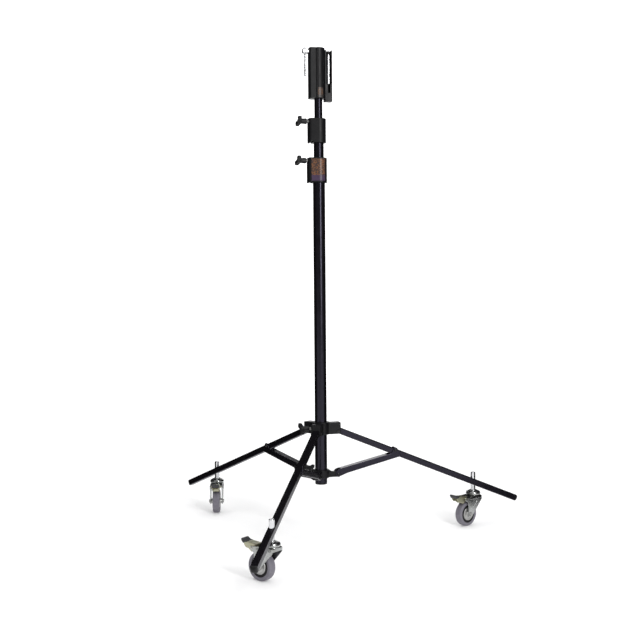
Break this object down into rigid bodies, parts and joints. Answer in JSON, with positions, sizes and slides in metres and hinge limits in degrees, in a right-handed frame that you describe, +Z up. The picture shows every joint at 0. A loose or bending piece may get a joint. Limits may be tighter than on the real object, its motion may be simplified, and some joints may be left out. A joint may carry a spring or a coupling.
{
  "type": "wheeled lighting stand",
  "caption": "Black folding lighting stand on braked swivel casters, with a telescopic column, T-knob locks and a combination head with a socket and a flip-out spigot.",
  "frame": {"origin": "on the ground under the middle of the bounding box of the open stand; the column axis stands at x 0, y +0.1669", "axes": "+Z up along the column; leg 1 points to -Y, leg 2 to the +X side and leg 3 to the -X side"},
  "size_m": [1.1878, 1.0293, 1.541],
  "materials": {
    "black_paint": "satin",
    "black_casting": "satin",
    "black_plastic": "satin",
    "grey_nylon": "matte",
    "zinc_steel": "satin",
    "chrome_steel": "polished",
    "zinc_sheet": "satin",
    "grey_rubber": "matte",
    "dark_brake_lever": "satin"
  },
  "bodies": {
    "column": {"column_tube": "black_paint", "column_end_plug": "black_plastic", "column_collar": "black_casting", "column_lock_pad": "grey_nylon", "lower_bracket": "black_casting", "bracket_pin_1": "zinc_steel", "bracket_pin_2": "zinc_steel", "bracket_pin_3": "zinc_steel"},
    "column_knob": {"column_lock_screw": "zinc_steel", "column_lock_knob": "black_plastic"},
    "riser_1_foot": {"riser_1_guide_bush": "grey_nylon"},
    "riser_1": {"riser_1_tube": "black_paint", "riser_collar": "black_casting", "riser_lock_pad": "grey_nylon"},
    "riser_knob": {"riser_lock_screw": "zinc_steel", "riser_lock_knob": "black_plastic"},
    "riser_2_foot": {"riser_2_guide_bush": "grey_nylon"},
    "riser_2": {"riser_2_tube": "black_paint", "head_receiver": "black_casting", "spigot_hinge_pin": "zinc_steel"},
    "head_screw": {"head_lock_screw": "chrome_steel"},
    "tommy_bar": {"head_tommy_bar": "chrome_steel"},
    "spigot": {"spigot": "chrome_steel"},
    "hub": {"upper_hub": "black_casting", "hub_pin_1": "zinc_steel", "hub_pin_2": "zinc_steel", "hub_pin_3": "zinc_steel"},
    "hub_knob": {"hub_lock_screw": "zinc_steel", "hub_lock_knob": "black_plastic"},
    "leveling_knob": {"leveling_bolt": "zinc_steel", "leveling_knob": "black_plastic"},
    "brace_1": {"brace_1": "black_paint"},
    "leg_1": {"leg_tube_1": "black_paint", "leg_end_cap_1": "black_plastic", "caster_stem_1": "chrome_steel"},
    "caster_1": {"caster_fork_1": "zinc_sheet", "caster_axle_1": "zinc_steel"},
    "wheel_1": {"caster_hub_1": "black_plastic", "caster_tyre_1": "grey_rubber"},
    "brake_1": {"caster_brake_1": "dark_brake_lever"},
    "brace_2": {"brace_2": "black_paint", "brace_pin_2": "zinc_steel"},
    "leg_2": {"leg_tube_2": "black_paint", "leg_end_cap_2": "black_plastic", "caster_stem_2": "chrome_steel"},
    "caster_2": {"caster_fork_2": "zinc_sheet", "caster_axle_2": "zinc_steel"},
    "wheel_2": {"caster_hub_2": "black_plastic", "caster_tyre_2": "grey_rubber"},
    "brake_2": {"caster_brake_2": "dark_brake_lever"},
    "brace_3": {"brace_3": "black_paint", "brace_pin_3": "zinc_steel"},
    "leg_3": {"leg_tube_3": "black_paint", "leg_end_cap_3": "black_plastic", "caster_stem_3": "chrome_steel"},
    "caster_3": {"caster_fork_3": "zinc_sheet", "caster_axle_3": "zinc_steel"},
    "wheel_3": {"caster_hub_3": "black_plastic", "caster_tyre_3": "grey_rubber"},
    "brake_3": {"caster_brake_3": "dark_brake_lever"}
  },
  "joints": [
    {"name": "column_knob_turn", "type": "hinge", "parent": "column", "child": "column_knob", "pos_m": [0, 0.16689, 1.189], "axis": [-0.866, -0.5, 0], "range_deg": [0, 360]},
    {"name": "riser_1_lift", "type": "slide", "parent": "column", "child": "riser_1_foot", "axis": [0, 0, 1], "range_m": [-0.045, 0.82]},
    {"name": "riser_1_turn", "type": "hinge", "parent": "riser_1_foot", "child": "riser_1", "pos_m": [0, 0.16689, 0.25], "axis": [0, 0, 1], "continuous": true},
    {"name": "riser_knob_turn", "type": "hinge", "parent": "riser_1", "child": "riser_knob", "pos_m": [0, 0.16689, 1.312], "axis": [-0.866, -0.5, 0], "range_deg": [0, 360]},
    {"name": "riser_2_lift", "type": "slide", "parent": "riser_1", "child": "riser_2_foot", "axis": [0, 0, 1], "range_m": [-0.05, 0.82]},
    {"name": "riser_2_turn", "type": "hinge", "parent": "riser_2_foot", "child": "riser_2", "pos_m": [0, 0.16689, 0.345], "axis": [0, 0, 1], "continuous": true},
    {"name": "head_screw_turn", "type": "hinge", "parent": "riser_2", "child": "head_screw", "pos_m": [0, 0.16689, 1.53], "axis": [-0.866, -0.5, 0], "range_deg": [0, 360]},
    {"name": "tommy_bar_slide", "type": "slide", "parent": "head_screw", "child": "tommy_bar", "axis": [0, 0, 1], "range_m": [0, 0.067]},
    {"name": "spigot_flip", "type": "hinge", "parent": "riser_2", "child": "spigot", "pos_m": [0.02873, 0.18232, 1.526], "axis": [-0.866, -0.5, 0], "range_deg": [0, 180]},
    {"name": "fold", "type": "hinge", "parent": "column", "child": "brace_1", "pos_m": [0, 0.11289, 0.1944], "axis": [-1, 0, 0], "range_deg": [0, 49]},
    {"name": "leg_1_fold", "type": "hinge", "parent": "brace_1", "child": "leg_1", "pos_m": [0, -0.07953, 0.26216], "axis": [-1, 0, 0], "range_deg": [-98, 0]},
    {"name": "hub_rise", "type": "hinge", "parent": "leg_1", "child": "hub", "pos_m": [0, 0.11289, 0.32992], "axis": [-1, 0, 0], "range_deg": [0, 49]},
    {"name": "hub_knob_turn", "type": "hinge", "parent": "hub", "child": "hub_knob", "pos_m": [0, 0.16689, 0.34375], "axis": [-0.866, -0.5, 0], "range_deg": [0, 360]},
    {"name": "leveling_knob_turn", "type": "hinge", "parent": "brace_1", "child": "leveling_knob", "pos_m": [0, -0.07953, 0.26216], "axis": [1, 0, 0], "range_deg": [0, 360]},
    {"name": "caster_1_swivel", "type": "hinge", "parent": "leg_1", "child": "caster_1", "pos_m": [0, -0.35611, 0.1], "axis": [0, 0, 1], "range_deg": [-226, 92]},
    {"name": "wheel_1_roll", "type": "hinge", "parent": "caster_1", "child": "wheel_1", "pos_m": [-0.03314, -0.34204, 0.04], "axis": [-0.3907, -0.9205, 0], "continuous": true},
    {"name": "brake_1_press", "type": "hinge", "parent": "caster_1", "child": "brake_1", "pos_m": [-0.04787, -0.33579, 0.093], "axis": [-0.3907, -0.9205, 0], "range_deg": [0, 15]},
    {"name": "brace_2_fold", "type": "hinge", "parent": "column", "child": "brace_2", "pos_m": [0.04677, 0.19389, 0.1944], "axis": [0.5, -0.866, 0], "range_deg": [0, 49]},
    {"name": "leg_2_fold", "type": "hinge", "parent": "brace_2", "child": "leg_2", "pos_m": [0.2134, 0.2901, 0.26216], "axis": [0.5, -0.866, 0], "range_deg": [-98, 0]},
    {"name": "caster_2_swivel", "type": "hinge", "parent": "leg_2", "child": "caster_2", "pos_m": [0.45293, 0.42839, 0.1], "axis": [0, 0, 1], "range_deg": [-184, 134]},
    {"name": "wheel_2_roll", "type": "hinge", "parent": "caster_2", "child": "wheel_2", "pos_m": [0.43228, 0.3989, 0.04], "axis": [0.8192, -0.5736, 0], "continuous": true},
    {"name": "brake_2_press", "type": "hinge", "parent": "caster_2", "child": "brake_2", "pos_m": [0.42311, 0.38579, 0.093], "axis": [0.8192, -0.5736, 0], "range_deg": [0, 15]},
    {"name": "brace_3_fold", "type": "hinge", "parent": "column", "child": "brace_3", "pos_m": [-0.04677, 0.19389, 0.1944], "axis": [0.5, 0.866, 0], "range_deg": [0, 49]},
    {"name": "leg_3_fold", "type": "hinge", "parent": "brace_3", "child": "leg_3", "pos_m": [-0.2134, 0.2901, 0.26216], "axis": [0.5, 0.866, 0], "range_deg": [-98, 0]},
    {"name": "caster_3_swivel", "type": "hinge", "parent": "leg_3", "child": "caster_3", "pos_m": [-0.45293, 0.42839, 0.1], "axis": [0, 0, 1], "range_deg": [-116, 202]},
    {"name": "wheel_3_roll", "type": "hinge", "parent": "caster_3", "child": "wheel_3", "pos_m": [-0.44241, 0.39396, 0.04], "axis": [0.9563, 0.2924, 0], "continuous": true},
    {"name": "brake_3_press", "type": "hinge", "parent": "caster_3", "child": "brake_3", "pos_m": [-0.43773, 0.37866, 0.093], "axis": [0.9563, 0.2924, 0], "range_deg": [0, 15]}
  ],
  "couplings": [
    {"joint": "brace_2_fold", "follows": "fold", "ratio": 1},
    {"joint": "brace_3_fold", "follows": "fold", "ratio": 1},
    {"joint": "leg_1_fold", "follows": "fold", "ratio": -2},
    {"joint": "leg_2_fold", "follows": "fold", "ratio": -2},
    {"joint": "leg_3_fold", "follows": "fold", "ratio": -2},
    {"joint": "hub_rise", "follows": "fold", "ratio": 1}
  ]
}
